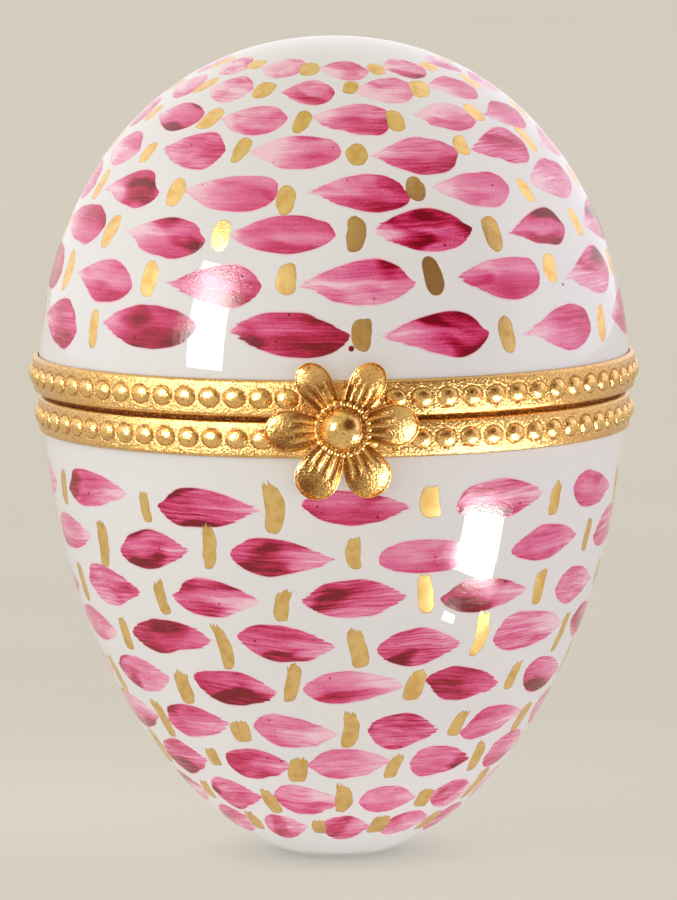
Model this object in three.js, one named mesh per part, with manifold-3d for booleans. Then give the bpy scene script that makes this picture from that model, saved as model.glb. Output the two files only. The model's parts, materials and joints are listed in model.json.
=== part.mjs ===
// A hinged porcelain egg box that stands on its narrow end.
// A painted bowl and dome of glazed porcelain are each bound at the mouth by a beaded gilt band.
// A barrel hinge joins the bands at the back, and a cast flower on the lid's band is the thumb piece.
// Millimetres, +Z up, the front faces -Y. The origin is the middle of the flat spot underneath.
import * as THREE from "three";
import { mergeVertices } from "three/addons/utils/BufferGeometryUtils.js";
import Module from "manifold-3d";

// Egg
const EGG_HEIGHT = 63.9;
const SEAM_HEIGHT = 36.4; // middle of the slit between the two bands
const SEAM_GAP = 0.55;
const BOWL_RADIUS = 22.7; // porcelain at the seam
const BOWL_REACH = 37.05; // depth at which the bowl's curve would close, below its flat spot
const BOWL_POWER = 1.87; // exponent of the bowl's superellipse: just slimmer than an ellipse
const DOME_RADIUS = 23.1;
const DOME_REACH = EGG_HEIGHT - SEAM_HEIGHT;
const DOME_POWER = 2.11; // just fuller than an ellipse
const WALL = 2.6;
const FLOOR = 3.0;
const FOOT_RADIUS = 3.7; // flat spot
const FOOT_EDGE = 0.35; // height of the softened edge above the flat spot
const SHELL_SIDES = 48;
const OUTER_STEPS = 13;
const INNER_STEPS = 9;

// Bands
const BAND_HEIGHT = 2.7;
const BAND_FIELD = 0.47; // face of the band outside the porcelain, half way up
const BAND_SWELL = 0.12; // the face falls back this much at its edges
const BEAD_RISE = 0.22;
const BEAD_COUNT = 72;
const BEAD_HALF_HEIGHT = 0.72;
const FLANGE_THICKNESS = 0.5; // covers the porcelain's rim
const FLANGE_OVERHANG = 0.15; // past the porcelain's inner wall
const CEMENT = 0.12; // joint between porcelain and metal
const BOWL_BAND_RADIUS = BOWL_RADIUS + BAND_FIELD;
const LID_BAND_RADIUS = DOME_RADIUS + BAND_FIELD;

// Hinge
const BARREL_RADIUS = 1.1;
const BORE_RADIUS = 0.6;
const PIN_RADIUS = 0.5;
const PIN_LENGTH = 12.6;
const PIN_CHAMFER = 0.2;
const MIDDLE_KNUCKLE_LENGTH = 4.8;
const SIDE_KNUCKLE_LENGTH = 3.4;
const KNUCKLE_PLAY = 0.2;
const LEAF_CLEARANCE = 0.15; // solder between leaf and band
const LEAF_THICKNESS = 0.75;
const LEAF_HEIGHT = 2.4;
const PLAIN_MARGIN = 0.5; // bare band past the ends of the hinge
const BARREL_CLEARANCE = 0.25; // barrel outside the lid's band
const HINGE_AXIS_Y = LID_BAND_RADIUS + BARREL_CLEARANCE + BARREL_RADIUS;
const BARREL_SIDES = 20;
const BORE_SIDES = 12;

// Flower
const PETAL_COUNT = 6;
const PETAL_LENGTH = 5.9;
const PETAL_ROOT = 0.9;
const PETAL_ROOT_HALF_WIDTH = 0.7;
const PETAL_HALF_WIDTH = 1.62;
const PETAL_THICKNESS = 0.6;
const PETAL_CUP = 0.55; // rise of the long edges above the middle
const PETAL_CURL = 0.75; // rise of the tip above the root
const PETAL_TIP_ROUND = 1.15; // how far the tip's corners fall back
const PETAL_WIDEST = 0.62; // share of the length from root to widest place
const PETAL_TAPER = 0.52; // share of the length over which the width would then close
const PETAL_STEPS = 6;
const PETAL_STEPS_ACROSS = 4;
const KNOB_RADIUS = 1.4;
const KNOB_HEIGHT = 1.6;
const COLLAR_RADIUS = 2.15;
const COLLAR_HEIGHT = 0.75;
const KNOB_SIDES = 18;
const KNOB_STEPS = 4;
const FLOWER_DROP = 0.55; // flower's middle below the seam
const FLOWER_STANDOFF = 0.5; // between the lid's beads and the backs of the petals' roots
const BOSS_WIDTH = 3.0;
const BOSS_HEIGHT = 1.9;
const BOSS_MIDDLE_ABOVE_SEAM = 1.5;
const BOSS_CLEARANCE = 0.1; // solder between boss and beads

// Finishes
const PORCELAIN = new THREE.MeshStandardMaterial({ color: 0xf2f0ee, roughness: 0.12, metalness: 0.0 });
const GILT = new THREE.MeshStandardMaterial({ color: 0xd9a441, roughness: 0.3, metalness: 1.0 });

const MERGE_DISTANCE = 1e-4;

const wasm = await Module();
wasm.setup();

// A closed geometry as a solid for joining and cutting.
function solidFrom(geometry) {
  const bare = geometry.clone();
  bare.deleteAttribute("normal");
  bare.deleteAttribute("uv");
  const merged = mergeVertices(bare, MERGE_DISTANCE);
  const triVerts = new Uint32Array(merged.index.array);
  const vertProperties = merged.attributes.position.array;
  return new wasm.Manifold(new wasm.Mesh({ numProp: 3, vertProperties, triVerts }));
}

// A solid back as a geometry.
function geometryFrom(solid) {
  const mesh = solid.getMesh();
  const geometry = new THREE.BufferGeometry();
  geometry.setAttribute("position", new THREE.BufferAttribute(new Float32Array(mesh.vertProperties), 3));
  geometry.setIndex(new THREE.BufferAttribute(new Uint32Array(mesh.triVerts), 1));
  geometry.computeVertexNormals();
  return geometry;
}

// Turns a profile of [radius, height] pairs about the Z axis.
function turned(profile, sides) {
  const points = profile.map(([radius, height]) => new THREE.Vector2(radius, height));
  return new THREE.LatheGeometry(points, sides).rotateX(Math.PI / 2);
}

// A rod along X, as a cylinder of the given length about its own middle.
function rodAlongX(radius, length, sides) {
  return new THREE.CylinderGeometry(radius, radius, length, sides).rotateZ(Math.PI / 2);
}

// Radius of a superellipse at a distance from its widest plane.
function eggRadius(radius, reach, power, distance) {
  return radius * Math.pow(1 - Math.pow(distance / reach, power), 1 / power);
}

// Points from the rim at `rim` to `end`, closer together towards the pole.
// `side` is 1 above the seam and -1 below it.
function eggCurve(radius, reach, power, rim, end, steps, side) {
  const points = [];
  for (let i = 0; i <= steps; i++) {
    const distance = rim + (end - rim) * Math.sin((i / steps) * Math.PI / 2);
    points.push([eggRadius(radius, reach, power, Math.min(distance, reach)), SEAM_HEIGHT + side * distance]);
  }
  return points;
}

const RIM = SEAM_GAP / 2 + FLANGE_THICKNESS + CEMENT; // porcelain rims, from the seam's middle

// Porcelain bowl: the outside closes on a flat spot with a softened edge, and the inside is a smaller egg.
function bowlGeometry() {
  const outer = eggCurve(BOWL_RADIUS, BOWL_REACH, BOWL_POWER, RIM, SEAM_HEIGHT - FOOT_EDGE, OUTER_STEPS, -1);
  const innerDepth = SEAM_HEIGHT - FLOOR;
  const inner = eggCurve(BOWL_RADIUS - WALL, innerDepth, BOWL_POWER, RIM, innerDepth, INNER_STEPS, -1);
  return turned([[0, 0], [FOOT_RADIUS, 0], ...outer.reverse(), ...inner], SHELL_SIDES);
}

// Porcelain dome: the same build turned over, closed at the top by a plain round pole.
function domeGeometry() {
  const outer = eggCurve(DOME_RADIUS, DOME_REACH, DOME_POWER, RIM, DOME_REACH, OUTER_STEPS, 1);
  const innerReach = DOME_REACH - WALL;
  const inner = eggCurve(DOME_RADIUS - WALL, innerReach, DOME_POWER, RIM, innerReach, INNER_STEPS, 1);
  return turned([...inner.reverse(), ...outer], SHELL_SIDES);
}

// A bead at this angle would lie under a hinge leaf, where the band is plain.
function isUnderHinge(angle) {
  const reach = MIDDLE_KNUCKLE_LENGTH / 2 + KNUCKLE_PLAY + SIDE_KNUCKLE_LENGTH + PLAIN_MARGIN;
  return Math.sin(angle) > 0 && Math.abs(Math.cos(angle)) * LID_BAND_RADIUS < reach;
}

// An L-section ring: a swelling face with a row of beads outside, and a flange over the porcelain's rim.
// `side` is 1 for the lid's band, which lies above the seam, and -1 for the bowl's band.
function bandGeometry(side, radius, reach, power) {
  const seamFace = SEAM_HEIGHT + side * SEAM_GAP / 2;
  const farFace = seamFace + side * BAND_HEIGHT;
  const flangeBack = seamFace + side * FLANGE_THICKNESS;
  const middle = (seamFace + farFace) / 2;
  const fieldRadius = radius + BAND_FIELD;
  const edgeRadius = fieldRadius - BAND_SWELL;
  const flangeRadius = radius - WALL - FLANGE_OVERHANG;
  const throat = radius + CEMENT;
  const farThroat = eggRadius(radius, reach, power, SEAM_GAP / 2 + BAND_HEIGHT) + CEMENT;
  const section = [
    [edgeRadius, seamFace],
    [flangeRadius, seamFace],
    [flangeRadius, flangeBack],
    [throat, flangeBack],
    [farThroat, farFace],
    [edgeRadius, farFace],
  ];
  const positions = [];
  const at = (radius, angle, height) => [radius * Math.cos(angle), radius * Math.sin(angle), height];
  const face = (a, b, c) => positions.push(...(side > 0 ? [...a, ...c, ...b] : [...a, ...b, ...c]));
  const pitch = (2 * Math.PI) / BEAD_COUNT;
  for (let bead = 0; bead < BEAD_COUNT; bead++) {
    const from = bead * pitch;
    const to = ((bead + 1) % BEAD_COUNT) * pitch;
    const between = (bead + 0.5) * pitch;
    for (let i = 0; i + 1 < section.length; i++) {
      const [near, next] = [section[i], section[i + 1]];
      const corners = [at(near[0], from, near[1]), at(near[0], to, near[1])];
      const beyond = [at(next[0], from, next[1]), at(next[0], to, next[1])];
      face(corners[0], corners[1], beyond[1]);
      face(corners[0], beyond[1], beyond[0]);
    }
    const seamCorners = [at(edgeRadius, from, seamFace), at(edgeRadius, to, seamFace)];
    const farCorners = [at(edgeRadius, from, farFace), at(edgeRadius, to, farFace)];
    const ends = [at(fieldRadius, from, middle), at(fieldRadius, to, middle)];
    const seamSide = at(fieldRadius, between, middle - side * BEAD_HALF_HEIGHT);
    const farSide = at(fieldRadius, between, middle + side * BEAD_HALF_HEIGHT);
    const crest = at(fieldRadius + (isUnderHinge(between) ? 0 : BEAD_RISE), between, middle);
    const around = [
      [farCorners[0], farCorners[1], farSide],
      [farCorners[1], ends[1], farSide],
      [ends[1], seamCorners[1], seamSide],
      [seamCorners[1], seamCorners[0], seamSide],
      [seamCorners[0], ends[0], seamSide],
      [ends[0], farCorners[0], farSide],
      [ends[0], farSide, crest],
      [farSide, ends[1], crest],
      [ends[1], seamSide, crest],
      [seamSide, ends[0], crest],
    ];
    for (const [a, b, c] of around) face(a, b, c);
  }
  const geometry = new THREE.BufferGeometry();
  geometry.setAttribute("position", new THREE.Float32BufferAttribute(positions, 3));
  geometry.computeVertexNormals();
  return geometry;
}

// A plain drum about the egg's axis, as tall as the egg.
function drum(radius) {
  return solidFrom(turned([[0, 0], [radius, 0], [radius, EGG_HEIGHT], [0, EGG_HEIGHT]], BEAD_COUNT));
}

// One knuckle: a bored barrel on the hinge axis, with a leaf that hugs its band above or below the seam.
function knuckleGeometry(middleX, length, side, bandRadius) {
  const placed = (geometry) => solidFrom(geometry.translate(middleX, HINGE_AXIS_Y, SEAM_HEIGHT));
  const barrel = placed(rodAlongX(BARREL_RADIUS, length, BARREL_SIDES));
  const bore = placed(rodAlongX(BORE_RADIUS, length * 2, BORE_SIDES));
  const leafDepth = HINGE_AXIS_Y - bandRadius / 2;
  const leafBlock = new THREE.BoxGeometry(length, leafDepth, LEAF_HEIGHT);
  leafBlock.translate(0, -leafDepth / 2, side * (SEAM_GAP / 2 + LEAF_HEIGHT / 2));
  const leaf = placed(leafBlock).intersect(drum(bandRadius + LEAF_CLEARANCE + LEAF_THICKNESS));
  const webBlock = new THREE.BoxGeometry(length, leafDepth, BARREL_RADIUS);
  webBlock.translate(0, -leafDepth / 2, side * (SEAM_GAP / 2 + BARREL_RADIUS / 2));
  const joined = barrel.add(leaf).add(placed(webBlock));
  return geometryFrom(joined.subtract(bore).subtract(drum(bandRadius + LEAF_CLEARANCE)));
}

// A bowl's knuckle, beside the lid's: `hand` is -1 at the left and 1 at the right.
function sideKnuckleGeometry(hand) {
  const middleX = hand * (MIDDLE_KNUCKLE_LENGTH / 2 + KNUCKLE_PLAY + SIDE_KNUCKLE_LENGTH / 2);
  return knuckleGeometry(middleX, SIDE_KNUCKLE_LENGTH, -1, BOWL_BAND_RADIUS);
}

// Hinge pin: a rod with chamfered ends, on the hinge axis.
function pinGeometry() {
  const half = PIN_LENGTH / 2;
  const profile = [
    [0, -half],
    [PIN_RADIUS - PIN_CHAMFER, -half],
    [PIN_RADIUS, -half + PIN_CHAMFER],
    [PIN_RADIUS, half - PIN_CHAMFER],
    [PIN_RADIUS - PIN_CHAMFER, half],
    [0, half],
  ];
  return turned(profile, BORE_SIDES).rotateY(Math.PI / 2).translate(0, HINGE_AXIS_Y, SEAM_HEIGHT);
}

// One petal along +X, facing +Z: a spoon with a narrow root, raised long edges and a round tip.
function petalGeometry() {
  const petal = new THREE.BoxGeometry(1, 1, 1, PETAL_STEPS, PETAL_STEPS_ACROSS, 1);
  const place = petal.attributes.position;
  for (let i = 0; i < place.count; i++) {
    const along = place.getX(i) + 0.5;
    const across = place.getY(i) * 2;
    const front = place.getZ(i) > 0;
    const widening = Math.sin(Math.min(along / PETAL_WIDEST, 1) * Math.PI / 2);
    const narrowing = Math.sqrt(1 - Math.pow(Math.max(along - PETAL_WIDEST, 0) / PETAL_TAPER, 2));
    const spread = PETAL_ROOT_HALF_WIDTH + (PETAL_HALF_WIDTH - PETAL_ROOT_HALF_WIDTH) * widening;
    const reach = PETAL_LENGTH - PETAL_ROOT - PETAL_TIP_ROUND * across * across * along * along;
    const lift = PETAL_CURL * along * along + PETAL_CUP * across * across * widening;
    place.setXYZ(
      i,
      PETAL_ROOT + reach * along,
      spread * narrowing * across,
      lift + (front ? PETAL_THICKNESS : 0),
    );
  }
  return petal;
}

// The cast flower: six petals round a collared knob, and the boss behind that is soldered to the lid's band.
function flowerGeometry() {
  const profile = [[0, 0], [COLLAR_RADIUS, 0], [COLLAR_RADIUS, COLLAR_HEIGHT]];
  for (let i = 0; i <= KNOB_STEPS; i++) {
    const climb = (i / KNOB_STEPS) * Math.PI / 2;
    profile.push([KNOB_RADIUS * Math.cos(climb), COLLAR_HEIGHT + KNOB_HEIGHT * Math.sin(climb)]);
  }
  let flower = solidFrom(turned(profile, KNOB_SIDES));
  for (let petal = 0; petal < PETAL_COUNT; petal++) {
    flower = flower.add(solidFrom(petalGeometry().rotateZ((petal * 2 * Math.PI) / PETAL_COUNT)));
  }
  const bossDepth = FLOWER_STANDOFF - BOSS_CLEARANCE;
  const overlap = PETAL_THICKNESS / 2;
  const boss = new THREE.BoxGeometry(BOSS_WIDTH, BOSS_HEIGHT, bossDepth + overlap);
  boss.translate(0, BOSS_MIDDLE_ABOVE_SEAM + FLOWER_DROP, (overlap - bossDepth) / 2);
  const cast = geometryFrom(flower.add(solidFrom(boss)));
  const backY = -(LID_BAND_RADIUS + BEAD_RISE + FLOWER_STANDOFF);
  return cast.rotateX(Math.PI / 2).translate(0, backY, SEAM_HEIGHT - FLOWER_DROP);
}

function piece(name, geometry, material) {
  const mesh = new THREE.Mesh(geometry, material);
  mesh.name = name;
  return mesh;
}

const bowl = new THREE.Group();
bowl.add(
  piece("porcelain_bowl", bowlGeometry(), PORCELAIN),
  piece("bowl_band", bandGeometry(-1, BOWL_RADIUS, BOWL_REACH, BOWL_POWER), GILT),
  piece("hinge_knuckle_left", sideKnuckleGeometry(-1), GILT),
  piece("hinge_knuckle_right", sideKnuckleGeometry(1), GILT),
  piece("hinge_pin", pinGeometry(), GILT),
);

const lid = new THREE.Group();
lid.add(
  piece("porcelain_dome", domeGeometry(), PORCELAIN),
  piece("lid_band", bandGeometry(1, DOME_RADIUS, DOME_REACH, DOME_POWER), GILT),
  piece("hinge_knuckle_middle", knuckleGeometry(0, MIDDLE_KNUCKLE_LENGTH, 1, LID_BAND_RADIUS), GILT),
  piece("flower_clasp", flowerGeometry(), GILT),
);

const eggBox = new THREE.Group();
eggBox.add(bowl, lid);

export default eggBox;
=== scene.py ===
import bisect
import json
import math

import bpy
from mathutils import Matrix, Vector


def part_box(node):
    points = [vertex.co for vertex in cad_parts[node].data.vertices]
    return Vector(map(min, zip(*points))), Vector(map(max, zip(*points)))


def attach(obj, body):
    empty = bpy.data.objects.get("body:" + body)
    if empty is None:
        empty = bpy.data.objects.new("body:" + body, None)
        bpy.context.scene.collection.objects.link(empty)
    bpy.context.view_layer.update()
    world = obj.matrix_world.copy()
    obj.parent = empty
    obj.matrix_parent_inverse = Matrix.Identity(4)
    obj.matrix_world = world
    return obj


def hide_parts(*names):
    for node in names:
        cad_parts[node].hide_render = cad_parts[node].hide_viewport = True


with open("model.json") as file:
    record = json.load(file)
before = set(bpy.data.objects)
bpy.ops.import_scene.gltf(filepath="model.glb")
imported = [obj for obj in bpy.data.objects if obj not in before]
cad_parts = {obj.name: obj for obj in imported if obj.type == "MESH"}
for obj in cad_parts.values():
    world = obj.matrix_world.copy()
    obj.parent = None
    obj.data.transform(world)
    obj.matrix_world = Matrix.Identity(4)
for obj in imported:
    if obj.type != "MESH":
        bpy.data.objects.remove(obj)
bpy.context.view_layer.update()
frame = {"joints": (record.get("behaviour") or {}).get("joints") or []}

# The porcelain bowl is the lower half of the egg: slip-cast porcelain under a clear glaze, hollow,
# with a flat spot ground on its narrow end. Over the glaze it is painted by hand in rows of
# raspberry brush strokes, with a dab of gold between each two strokes.
MM = 0.001
WELD_DISTANCE = MM / 1000
HINGE_AXIS = Vector(frame["joints"][0]["pos_m"])
SEAM = HINGE_AXIS.z
bowl_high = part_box("porcelain_bowl")[1]
BOWL_RADIUS = bowl_high.x
BOWL_RIM = bowl_high.z
BOWL_REACH = 37.05 * MM
BOWL_POWER = 1.87
WALL = 2.6 * MM
FLOOR = 3.0 * MM
FOOT_RADIUS = 3.7 * MM
FOOT_EDGE = 0.35 * MM
FOOT_FLARE = 0.4 * MM
FOOT_FLARE_RISE = 0.1 * MM
RIM_ROUND = 0.3 * MM
OUTSIDE_STEPS = 64
INSIDE_STEPS = 28
SHELL_SIDES = 160


def egg_radius(radius, reach, power, distance):
    """Radius of a superellipse at a distance from its widest plane."""
    return radius * max(1 - (distance / reach) ** power, 0) ** (1 / power)


def egg_curve(radius, reach, power, start, end, steps, side):
    """(radius, height) points from the rim towards the pole, closer together at the pole."""
    points = []
    for step in range(steps + 1):
        distance = start + (end - start) * math.sin(step / steps * math.pi / 2)
        points.append((egg_radius(radius, reach, power, distance), SEAM + side * distance))
    return points


def draw(name, places):
    """A wire through places, drawn by pulling one vertex along, left in edit mode with all selected."""
    bpy.ops.object.select_all(action="DESELECT")
    bpy.ops.mesh.primitive_plane_add(size=MM)
    piece = bpy.context.active_object
    piece.name = name
    piece.data.name = name
    bpy.ops.object.mode_set(mode="EDIT")
    bpy.ops.mesh.merge(type="CENTER")
    bpy.ops.transform.translate(value=places[0])
    for before, after in zip(places, places[1:]):
        bpy.ops.mesh.extrude_region_move(TRANSFORM_OT_translate={"value": after - before})
    bpy.ops.mesh.select_all(action="SELECT")
    return piece


def close_up():
    """Welds the mesh in edit mode, turns its faces outwards and goes back to object mode."""
    bpy.ops.mesh.select_all(action="SELECT")
    bpy.ops.mesh.remove_doubles(threshold=WELD_DISTANCE)
    bpy.ops.mesh.normals_make_consistent(inside=False)
    bpy.ops.object.mode_set(mode="OBJECT")


def turn(name, profile, sides):
    """Draws a profile of (radius, height) points at the back and spins it round the egg's axis."""
    piece = draw(name, [Vector((0, radius, height)) for radius, height in profile])
    bpy.ops.mesh.spin(steps=sides, angle=2 * math.pi, center=(0, 0, 0), axis=(0, 0, 1))
    close_up()
    bpy.ops.object.shade_smooth()
    return piece


def rounded_rim(outer, inner, height, side):
    """The glazed rim between the outer and inner wall, with both corners rounded."""
    points = []
    for edge, inwards, turns in ((outer, -1, (0.25, 0.5, 0.75)), (inner, 1, (0.75, 0.5, 0.25))):
        for turned in turns:
            swing = turned * math.pi / 2
            across = edge + inwards * RIM_ROUND * (1 - math.cos(swing))
            points.append((across, height + side * RIM_ROUND * (1 - math.sin(swing))))
    return points


bowl_depth = SEAM - BOWL_RIM + RIM_ROUND
bowl_outside = egg_curve(
    BOWL_RADIUS, BOWL_REACH, BOWL_POWER, bowl_depth, SEAM - FOOT_EDGE, OUTSIDE_STEPS, -1
)
bowl_inside = egg_curve(
    BOWL_RADIUS - WALL, SEAM - FLOOR, BOWL_POWER, bowl_depth, SEAM - FLOOR, INSIDE_STEPS, -1
)
bowl_rim = rounded_rim(BOWL_RADIUS, BOWL_RADIUS - WALL, BOWL_RIM, -1)
foot = [(0, 0), (FOOT_RADIUS / 2, 0), (FOOT_RADIUS, 0), (FOOT_RADIUS + FOOT_FLARE, FOOT_FLARE_RISE)]
bowl = turn("painted_bowl", foot + bowl_outside[::-1] + bowl_rim + bowl_inside, SHELL_SIDES)

COLUMNS = 12
NEAR_AXIS = MM / 100


def lay_out(piece, outside, side, row_at):
    """Gives a shell its paint map in columns and rows, and its inside faces the second material slot."""
    paint = piece.data.uv_layers.new(name="paint")
    climb = sorted((height, radius) for radius, height in outside)
    heights = [height for height, radius in climb]
    arcs = [0.0]
    for (low, near), (high, far) in zip(climb, climb[1:]):
        arcs.append(arcs[-1] + math.hypot(high - low, far - near))

    def arc_at(height):
        after = min(max(bisect.bisect(heights, height), 1), len(heights) - 1)
        share = (height - heights[after - 1]) / (heights[after] - heights[after - 1])
        return arcs[after - 1] + share * (arcs[after] - arcs[after - 1])

    for face in piece.data.polygons:
        is_outside = face.normal.dot(face.center - Vector((0, 0, SEAM))) > 0
        face.material_index = 0 if is_outside else 1
        middle = math.atan2(face.center.x, -face.center.y)
        for corner in face.loop_indices:
            place = piece.data.vertices[piece.data.loops[corner].vertex_index].co
            angle = middle
            if place.xy.length > NEAR_AXIS:
                angle = math.atan2(place.x, -place.y)
                angle += 2 * math.pi * round((middle - angle) / (2 * math.pi))
            arc = arc_at(place.z)
            from_rim = arc if side > 0 else arcs[-1] - arc
            paint.data[corner].uv = (angle * COLUMNS / (2 * math.pi), row_at(from_rim))


BOWL_FIRST_ROW = 6.8 * MM
BOWL_ROW_STEP = 3.76 * MM
BOWL_ROWS = 9


def bowl_row(from_rim):
    """Row number at a distance down the bowl's outside: row 1 is below the band."""
    return 1 + (from_rim + bowl_depth - BOWL_FIRST_ROW) / BOWL_ROW_STEP


lay_out(bowl, bowl_outside, -1, bowl_row)


class Wire:
    """A number at each point of a surface, carried by a node's socket. Sums of wires are nodes."""

    def __init__(self, socket):
        self.socket = socket

    def __add__(self, other):
        return reckon("ADD", self, other)

    def __radd__(self, other):
        return reckon("ADD", self, other)

    def __sub__(self, other):
        return reckon("SUBTRACT", self, other)

    def __rsub__(self, other):
        return reckon("SUBTRACT", other, self)

    def __mul__(self, other):
        return reckon("MULTIPLY", self, other)

    def __rmul__(self, other):
        return reckon("MULTIPLY", self, other)

    def __truediv__(self, other):
        return reckon("DIVIDE", self, other)


def connect(source, socket):
    """Links a wire to a socket, or sets the socket to a plain value."""
    if isinstance(source, Wire):
        socket.id_data.links.new(source.socket, socket)
    else:
        socket.default_value = source


def node_for(terms, kind):
    """A new node in the tree that the wires among the terms belong to."""
    tree = next(term.socket.id_data for term in terms if isinstance(term, Wire))
    return tree.nodes.new(kind)


def reckon(operation, *terms):
    """A math node on wires and plain numbers."""
    step = node_for(terms, "ShaderNodeMath")
    step.operation = operation
    for term, socket in zip(terms, step.inputs):
        connect(term, socket)
    return Wire(step.outputs[0])


def ease(value, low, high, start=0.0, end=1.0):
    """Goes smoothly from start to end as value goes from low to high."""
    terms = (value, low, high, start, end)
    step = node_for(terms, "ShaderNodeMapRange")
    step.interpolation_type = "SMOOTHSTEP"
    for term, socket in zip(terms, step.inputs):
        connect(term, socket)
    return Wire(step.outputs[0])


def above(value, limit):
    return reckon("GREATER_THAN", value, limit)


def between(share, first, second):
    return first + (second - first) * share


def point(*terms):
    step = node_for(terms, "ShaderNodeCombineXYZ")
    for term, socket in zip(terms, step.inputs):
        connect(term, socket)
    return Wire(step.outputs[0])


def parts(vector):
    step = node_for([vector], "ShaderNodeSeparateXYZ")
    connect(vector, step.inputs[0])
    return [Wire(socket) for socket in step.outputs]


def grain(place, scale, detail=2.0, roughness=0.5):
    """Cloudy noise from 0 to 1 at a place, with cells about 1/scale across."""
    step = node_for([place], "ShaderNodeTexNoise")
    connect(place, step.inputs["Vector"])
    step.inputs["Scale"].default_value = scale
    step.inputs["Detail"].default_value = detail
    step.inputs["Roughness"].default_value = roughness
    return Wire(step.outputs[0])


def dice(column, row, seed):
    """Three even random numbers for one stroke or dab."""
    step = node_for([column], "ShaderNodeTexWhiteNoise")
    around = reckon("FLOORED_MODULO", column, COLUMNS)
    connect(point(around, row, seed), step.inputs["Vector"])
    return parts(Wire(step.outputs["Color"]))


def tint(share, first, second):
    """Mixes two colours, each a wire or a plain (red, green, blue)."""
    step = node_for([share], "ShaderNodeMix")
    step.data_type = "RGBA"
    connect(share, step.inputs[0])
    for colour, socket in ((first, step.inputs[6]), (second, step.inputs[7])):
        connect(colour if isinstance(colour, Wire) else (*colour, 1.0), socket)
    return Wire(step.outputs[2])


def ramp(value, stops):
    """A colour that follows value through (place, (red, green, blue)) stops."""
    step = node_for([value], "ShaderNodeValToRGB")
    connect(value, step.inputs[0])
    scale = step.color_ramp.elements
    while len(scale) < len(stops):
        scale.new(1.0)
    for mark, (place, colour) in zip(scale, stops):
        mark.position = place
        mark.color = (*colour, 1.0)
    return Wire(step.outputs[0])


def srgb(red, green, blue):
    """A colour as seen on a screen, from 0 to 255, as the shader's own numbers."""
    shares = [value / 255 for value in (red, green, blue)]
    return tuple(s / 12.92 if s <= 0.04045 else ((s + 0.055) / 1.055) ** 2.4 for s in shares)


def new_material(name):
    """A material, its shader, and object coordinates in millimetres."""
    material = bpy.data.materials.new(name)
    material.use_nodes = True
    tree = material.node_tree
    coordinates = tree.nodes.new("ShaderNodeTexCoord")
    scaled = tree.nodes.new("ShaderNodeVectorMath")
    scaled.operation = "SCALE"
    tree.links.new(coordinates.outputs["Object"], scaled.inputs[0])
    scaled.inputs["Scale"].default_value = 1 / MM
    return material, tree.nodes["Principled BSDF"], Wire(scaled.outputs[0])


def emboss(shader, relief, distance, strength=1.0):
    """Gives a shader's surface a relief of the given depth, weaker where strength is below 1."""
    bump = node_for([relief], "ShaderNodeBump")
    bump.inputs["Distance"].default_value = distance
    connect(strength, bump.inputs["Strength"])
    connect(relief, bump.inputs["Height"])
    connect(Wire(bump.outputs[0]), shader.inputs["Normal"])


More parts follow.
